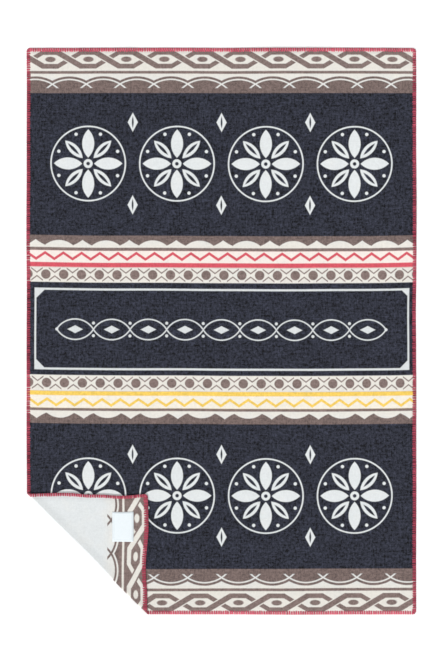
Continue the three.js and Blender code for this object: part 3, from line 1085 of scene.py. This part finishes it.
class BLANKET_OT_edging(bpy.types.Operator):
    """Stitch the yarn over the edge, all the way round"""

    bl_idname = "blanket.edging"
    bl_label = "Stitched edging"

    # The course of a strand in its section, ring by ring: share of its reach in from
    # the edge, and height over the middle of the cloth in millimetres, from its inner
    # end on the face, where it dives into the cloth, to its inner end on the reverse
    COURSE = (
        (1.00, 0.30), (0.90, 1.05), (0.50, 1.30), (0.10, 1.12), (0.04, 0.00),
        (0.10, -0.95), (0.50, -1.00), (0.90, -0.95), (1.00, -0.30),
    )
    # The number of those rings, and which of them are at the edge and on the face
    RINGS = len(COURSE)
    TURN_RING = RINGS // 2
    FACE_RING = 2

    # A strand's width and thickness on the way from either inner end to its middle,
    # as shares of the full ones
    WIDTHS = (0.50, 0.74, 0.82, 0.96, 1.0)
    THICKNESSES = (0.55, 0.95, 1.0, 1.0, 1.0)
    HALF_WIDE = 1.9 * MM
    SIDES = 5

    # How far the two strands of a pair are drawn together, how far a strand leans from
    # end to end, and how uneven these, the widths, the heights and the reach are
    PAIR_SHIFT = 0.45 * MM
    PAIR_UNEVEN = 0.35 * MM
    LEAN = 0.6 * MM
    LEAN_UNEVEN = 0.4
    WIDTH_UNEVEN = 0.06
    HEIGHT_UNEVEN = (-0.05, 0.12)
    REACH_UNEVEN = (-0.12, 0.06)

    # How many strands go round a rounded corner, and their share of the full reach
    CORNER_STRANDS = 5
    CORNER_SHARE = 0.8

    # On the reverse: how far a strand stands off at most, how much further it does on
    # the turned-over corner, over what way that begins, and how much longer the reach
    # is at the ends of the blanket and shorter at its sides
    REVERSE_LOWEST = -1 * MM
    TURNED_LIFT = 0.3 * MM
    TURNED_EASE = 4 * MM
    REVERSE_FACING = 0.15

    # The shade of a strand: its mean, how far single strands stray, how much lighter it is
    # painted where it points along y, as on the ends of the face, than where it points along x,
    # as on its sides, on the face and on the turned-over corner (painted light and shade, by the
    # way the strand lies to the lamps), and slow swings along the edge by their size, length in
    # strands and start
    SHADE = 0.47
    SHADE_SPREAD = 0.13
    PAINTED_LIGHT_FACING = 0.17
    PAINTED_LIGHT_FACING_TURNED = 0.07
    SHADE_SWINGS = ((0.06, 23, 0), (0.05, 7.3, 1))

    # Distances from the middle of the length between which pale cloth shows between
    # the strands and lightens them
    PALE_BANDS = ((155 * MM, 275 * MM), (860 * MM, 950 * MM))
    PALE_LIGHTER = 0.12

    def roots(self, cloth, pitch):
        """Each strand's place on the finished edge, its way in and its share of reach."""
        corners = [(0, 0), (cloth.width, 0), (cloth.width, cloth.length), (0, cloth.length)]
        ways = [(1, 0), (0, 1), (-1, 0), (0, -1)]
        spans = [cloth.width, cloth.length, cloth.width, cloth.length]
        places = []
        inwards = []
        shares = []
        for side, (corner, way, span) in enumerate(zip(corners, ways, spans)):
            corner = np.array(corner, float)
            way = np.array(way, float)
            inward = -np.array(ways[side - 1], float)
            centre = corner + CORNER_RADIUS * (way + inward)
            for step in range(self.CORNER_STRANDS):
                turn = (step + 0.5) / self.CORNER_STRANDS * math.pi / 2
                into = way * math.cos(turn) + inward * math.sin(turn)
                places.append(centre - CORNER_RADIUS * into)
                inwards.append(into)
                shares.append(self.CORNER_SHARE)
            straight = span - 2 * CORNER_RADIUS
            count = round(straight / pitch)
            for step in range(count):
                places.append(corner + way * (CORNER_RADIUS + (step + 0.5) * straight / count))
                inwards.append(inward)
                shares.append(1.0)
        return np.array(places), np.array(inwards), np.array(shares)

    def there_and_back(self, values):
        """Values on the way to a strand's middle, and the same on the way back."""
        return np.array(values + values[-2::-1])

    def course(self, rng, reach, into, turned):
        """How far in from the edge, and how high, the rings of each strand lie."""
        count = len(reach)
        share, height = np.array(self.COURSE).T
        on_reverse = np.arange(self.RINGS) > self.TURN_RING
        face_reach = reach * (1 + rng.uniform(*self.REACH_UNEVEN, (count, 1)))
        reverse_reach = reach * (1 + rng.uniform(*self.REACH_UNEVEN, (count, 1)))
        reverse_reach *= 1 + self.REVERSE_FACING * (np.abs(into[:, 1:]) - np.abs(into[:, :1]))
        inset = share * np.where(on_reverse, reverse_reach, face_reach)
        height = height * MM + rng.uniform(*self.HEIGHT_UNEVEN, (count, 1)) * MM
        lowest = np.maximum(height, self.REVERSE_LOWEST) - self.TURNED_LIFT * turned
        return inset, np.where(on_reverse, lowest, height)

    def spread(self, rng, count):
        """How far aside the rings of each strand lie, and half their width."""
        stray = rng.uniform(-self.LEAN_UNEVEN, self.LEAN_UNEVEN, (count, 1))
        aside = self.LEAN * (np.linspace(-1, 1, self.RINGS) + stray)
        pair_stray = rng.uniform(-self.PAIR_UNEVEN, self.PAIR_UNEVEN, (count + 1) // 2)
        aside += np.repeat(pair_stray, 2)[:count, None]
        second = np.arange(count)[:, None] % 2
        aside += np.where(second, -self.PAIR_SHIFT, self.PAIR_SHIFT)
        stray = rng.uniform(-self.WIDTH_UNEVEN, self.WIDTH_UNEVEN, (count, 1))
        return aside, self.HALF_WIDE * self.there_and_back(self.WIDTHS) * (1 + stray)

    def strands(self, cloth, place, into, course, spread, thickness):
        """The points of all strands, ring by ring."""
        inset, height = course
        aside, half_wide = spread
        half_thick = thickness / 2 * self.there_and_back(self.THICKNESSES)
        tangent = np.stack([np.gradient(inset, axis=1), np.gradient(height, axis=1)], -1)
        tangent /= np.maximum(np.linalg.norm(tangent, axis=-1, keepdims=True), 1e-9)
        angles = 2 * math.pi * (np.arange(self.SIDES) + 0.5) / self.SIDES + math.pi / 2
        raised = half_thick[:, None] * np.sin(angles)
        ring_in = inset[..., None] - tangent[..., 1:] * raised
        ring_n = height[..., None] + tangent[..., :1] * raised
        ring_aside = aside[..., None] + half_wide[..., None] * np.cos(angles)
        along = np.stack([into[:, 1], -into[:, 0]], -1)
        flat = place[:, None, None] + into[:, None, None] * ring_in[..., None]
        flat = flat + along[:, None, None] * ring_aside[..., None]
        return cloth.lay(flat[..., 0], flat[..., 1], ring_n)

    def shades(self, rng, cloth, place, points, turned):
        """Each strand's shade, from 0 for the deepest to 1 for the lightest: its own tone, with
        painted light and shade by the way it lies.
        """
        way_out = points[:, self.TURN_RING].mean(1) - points[:, self.FACE_RING].mean(1)
        way_out /= np.linalg.norm(way_out[:, :2], axis=1, keepdims=True)
        painted_light_by_way = np.abs(way_out[:, 1]) - np.abs(way_out[:, 0])
        number = np.arange(len(place))
        shade = self.SHADE + rng.normal(0, self.SHADE_SPREAD, len(place))
        for swing, length, start in self.SHADE_SWINGS:
            shade += swing * np.sin(number / length + start)
        # Painted light and shade: strands that point along y are painted lighter, those that
        # point along x darker, on the face and on the turned-over corner.
        shade += self.PAINTED_LIGHT_FACING * painted_light_by_way * (1 - turned)
        shade += self.PAINTED_LIGHT_FACING_TURNED * painted_light_by_way * turned
        out = np.abs(place[:, 1] - cloth.length / 2)
        for start, end in self.PALE_BANDS:
            shade += self.PALE_LIGHTER * ((out > start) & (out < end)) * (1 - turned)
        return np.clip(shade, 0, 1)

    def execute(self, context):
        sizes = context.scene.blanket_sizes
        colours = context.scene.blanket_colours
        cloth = LaidCloth(sizes)
        rng = np.random.default_rng(sizes.seed)
        place, into, share = self.roots(cloth, sizes.strand_pitch)
        count = len(place)
        turned = smooth_step(cloth.bend_start - place.sum(1) / ROOT_TWO, self.TURNED_EASE)
        reach = sizes.edging_reach * share[:, None]
        course = self.course(rng, reach, into, turned[:, None])
        spread = self.spread(rng, count)
        points = self.strands(cloth, place, into, course, spread, sizes.yarn_thickness)
        shade = self.shades(rng, cloth, place, points, turned)
        faces = strand_faces(count, self.RINGS, self.SIDES)
        piece = new_piece("edging_stitches", points.reshape(-1, 3), faces)

        # What the yarn's finish reads: millimetres along the strand, the share of the way round
        # it, and its shade, painted light and shade included
        inset = course[0]
        steps = np.abs(np.diff(inset, axis=1, prepend=inset[:, :1]))
        yarn = np.empty((count, self.RINGS, self.SIDES, 3))
        yarn[..., 0] = steps.cumsum(1)[..., None] / MM
        yarn[..., 1] = np.arange(self.SIDES) / self.SIDES
        yarn[..., 2] = shade[:, None, None]
        attribute = piece.data.attributes.new("yarn", "FLOAT_VECTOR", "POINT")
        attribute.data.foreach_set("vector", yarn.astype(np.float32).ravel())
        finish_piece(piece, yarn_finish(colours), "edging")
        return {"FINISHED"}


class BLANKET_OT_label(bpy.types.Operator):
    """Sew the bare label to the reverse"""

    bl_idname = "blanket.label"
    bl_label = "Sewn label"

    CELL = 6 * MM
    THICKNESS = 0.6 * MM
    LIFT = 0.3 * MM
    STITCH = 2.6 * MM
    STITCH_SPACE = 4.2 * MM
    INSET = 2.5 * MM
    THREAD = 0.45 * MM
    RIM_DROP = 0.15 * MM

    # The course of a stitch: share of its length along, share of its thickness up
    STITCH_COURSE = ((-0.5, -0.25), (-0.3, 0.25), (0.3, 0.25), (0.5, -0.25))
    SQUARE = ((-1, -1), (1, -1), (1, 1), (-1, 1))

    def execute(self, context):
        sizes = context.scene.blanket_sizes
        colours = context.scene.blanket_colours
        cloth = LaidCloth(sizes)
        left, low = sizes.label_a, sizes.label_b
        right, high = left + sizes.label_width, low + sizes.label_height
        lines_a = np.linspace(left, right, math.ceil((right - left) / self.CELL) + 1)
        lines_b = np.linspace(low, high, math.ceil((high - low) / self.CELL) + 1)
        top = -cloth.half - self.LIFT - self.THICKNESS

        def lower(a, b):
            """The label's outer face, its rim pressed down a little."""
            rim = np.minimum.reduce([a - left, right - a, b - low, high - b])
            return np.where(rim < 1e-6, top + self.RIM_DROP, top)

        def upper(a, b):
            """The label's face towards the cloth."""
            return np.full_like(a, -cloth.half - self.LIFT)

        layer = flat_layer(lines_a, lines_b)
        piece = closed_layer("label_tape", layer, lower, upper, cloth.lay)[0]
        finish_piece(piece, tape_finish(colours, sizes), "label")
        sides = (left + self.INSET, right - self.INSET, low + self.INSET, high - self.INSET)
        thread = self.thread(cloth, sides, top)
        finish_piece(thread, thread_finish(colours), None)
        return {"FINISHED"}

    def thread(self, cloth, sides, top):
        """Short stitches all round the label, each a small closed bar of thread."""
        left, right, low, high = sides
        corners = [(left, low), (right, low), (right, high), (left, high)]
        points = []
        for start, end in zip(corners, corners[1:] + corners[:1]):
            start, end = np.array(start), np.array(end)
            span = np.linalg.norm(end - start)
            way = (end - start) / span
            aside = np.array([-way[1], way[0]])
            for middle in np.arange(self.STITCH_SPACE / 2, span, self.STITCH_SPACE):
                for share, raised in self.STITCH_COURSE:
                    on_line = start + way * (middle + share * self.STITCH)
                    for across, up in self.SQUARE:
                        spot = on_line + aside * across * self.THREAD / 2
                        n = top - raised * self.THREAD - up * self.THREAD / 2
                        points.append((*spot, n))
        rings, sides = len(self.STITCH_COURSE), len(self.SQUARE)
        faces = strand_faces(len(points) // (rings * sides), rings, sides)
        a, b, n = np.array(points).T
        return new_piece("label_thread", cloth.lay(a, b, n), faces)


# The camera looks straight down. The photo's frame, in pixels, with the middle of
# the blanket in it and the blanket's width.
FRAME_SIZE = (443, 665)
BLANKET_MIDDLE = (221.4, 331.17)
BLANKET_PIXELS = 389.8
SENSOR = 36
FARTHEST = 40


class BLANKET_OT_studio(bpy.types.Operator):
    """Set up the floor, the lights and the camera"""

    bl_idname = "blanket.studio"
    bl_label = "Studio"

    # The key light: its height over the floor, how far it stands to the left of the
    # camera's foot, and how soft it is
    KEY_HEIGHT = math.radians(38)
    KEY_TURN = math.radians(20)
    KEY_SPREAD = math.radians(9)

    # The soft lights: place, size, and the property that holds their power
    SOFT_LIGHTS = {
        "light_left": ((-3.4, 0.2, 2.6), (1.8, 3.2), "side_power"),
        "light_right": ((3.4, 0.2, 2.6), (1.8, 3.2), "side_power"),
        "light_top": ((0.3, 0.9, 6.5), (3.0, 3.0), "top_power"),
    }

    def light(self, name, place, size, power):
        """A large soft light that looks at the middle of the blanket."""
        bpy.ops.object.light_add(type="AREA", location=place)
        lamp = bpy.context.object
        lamp.name = name
        lamp.data.shape = "RECTANGLE"
        lamp.data.size, lamp.data.size_y = size
        lamp.data.energy = power
        lamp.rotation_euler = (-Vector(place)).to_track_quat("-Z", "Y").to_euler()
        lamp.visible_camera = False

    def execute(self, context):
        scene = context.scene
        studio = scene.blanket_studio
        bpy.ops.object.select_all(action="DESELECT")
        bpy.ops.mesh.primitive_plane_add(size=studio.floor_size, location=(0, 0, 0))
        floor = context.object
        floor.name = "studio_floor"
        floor.data.materials.append(floor_finish(scene.blanket_colours))

        for name, (place, size, power) in self.SOFT_LIGHTS.items():
            self.light(name, place, size, getattr(studio, power))
        bpy.ops.object.light_add(type="SUN", location=(-1, -3, 4))
        key = context.object
        key.name = "light_key"
        key.data.energy = studio.key_strength
        key.data.angle = self.KEY_SPREAD
        key.rotation_euler = (math.pi / 2 - self.KEY_HEIGHT, 0, -self.KEY_TURN)

        world = bpy.data.worlds.new("surroundings")
        world.use_nodes = True
        backdrop = world.node_tree.nodes["Background"]
        backdrop.inputs["Color"].default_value = (1, 1, 1, 1)
        backdrop.inputs["Strength"].default_value = studio.sky_strength
        scene.world = world

        metre_per_pixel = scene.blanket_sizes.width / BLANKET_PIXELS
        frame_height = FRAME_SIZE[1] * metre_per_pixel
        distance = studio.focal_length / SENSOR * frame_height
        aside = (FRAME_SIZE[0] / 2 - BLANKET_MIDDLE[0]) * metre_per_pixel
        upward = (BLANKET_MIDDLE[1] - FRAME_SIZE[1] / 2) * metre_per_pixel
        top = scene.blanket_sizes.thickness
        bpy.ops.object.camera_add(location=(aside, upward, top + distance), rotation=(0, 0, 0))
        camera = context.object
        camera.name = "studio_camera"
        camera.data.lens = studio.focal_length
        camera.data.sensor_width = SENSOR
        camera.data.clip_end = FARTHEST
        scene.camera = camera
        scene.view_settings.view_transform = "Standard"
        scene.view_settings.look = "None"
        return {"FINISHED"}


class BLANKET_PT_panel(bpy.types.Panel):
    """Sizes, colours and the steps that build the blanket"""

    bl_idname = "BLANKET_PT_panel"
    bl_label = "Folded wool blanket"
    bl_space_type = "VIEW_3D"
    bl_region_type = "UI"
    bl_category = "Blanket"

    def draw(self, context):
        scene = context.scene
        for group in (scene.blanket_sizes, scene.blanket_colours, scene.blanket_studio):
            box = self.layout.box()
            for name in group.bl_rna.properties.keys():
                if name not in ("rna_type", "name"):
                    box.prop(group, name)
        for step in STEPS:
            self.layout.operator(step.bl_idname)


STEPS = (BLANKET_OT_studio, BLANKET_OT_cloth, BLANKET_OT_edging, BLANKET_OT_label)
CLASSES = (BlanketSizes, BlanketColours, StudioSizes) + STEPS + (BLANKET_PT_panel,)


def register():
    for item in CLASSES:
        bpy.utils.register_class(item)
    bpy.types.Scene.blanket_sizes = PointerProperty(type=BlanketSizes)
    bpy.types.Scene.blanket_colours = PointerProperty(type=BlanketColours)
    bpy.types.Scene.blanket_studio = PointerProperty(type=StudioSizes)


def unregister():
    del bpy.types.Scene.blanket_studio
    del bpy.types.Scene.blanket_colours
    del bpy.types.Scene.blanket_sizes
    for item in reversed(CLASSES):
        bpy.utils.unregister_class(item)


def main():
    """Builds the blanket in its studio."""
    register()
    bpy.ops.blanket.studio()
    bpy.ops.blanket.cloth()
    bpy.ops.blanket.edging()
    bpy.ops.blanket.label()


if __name__ == "__main__":
    main()
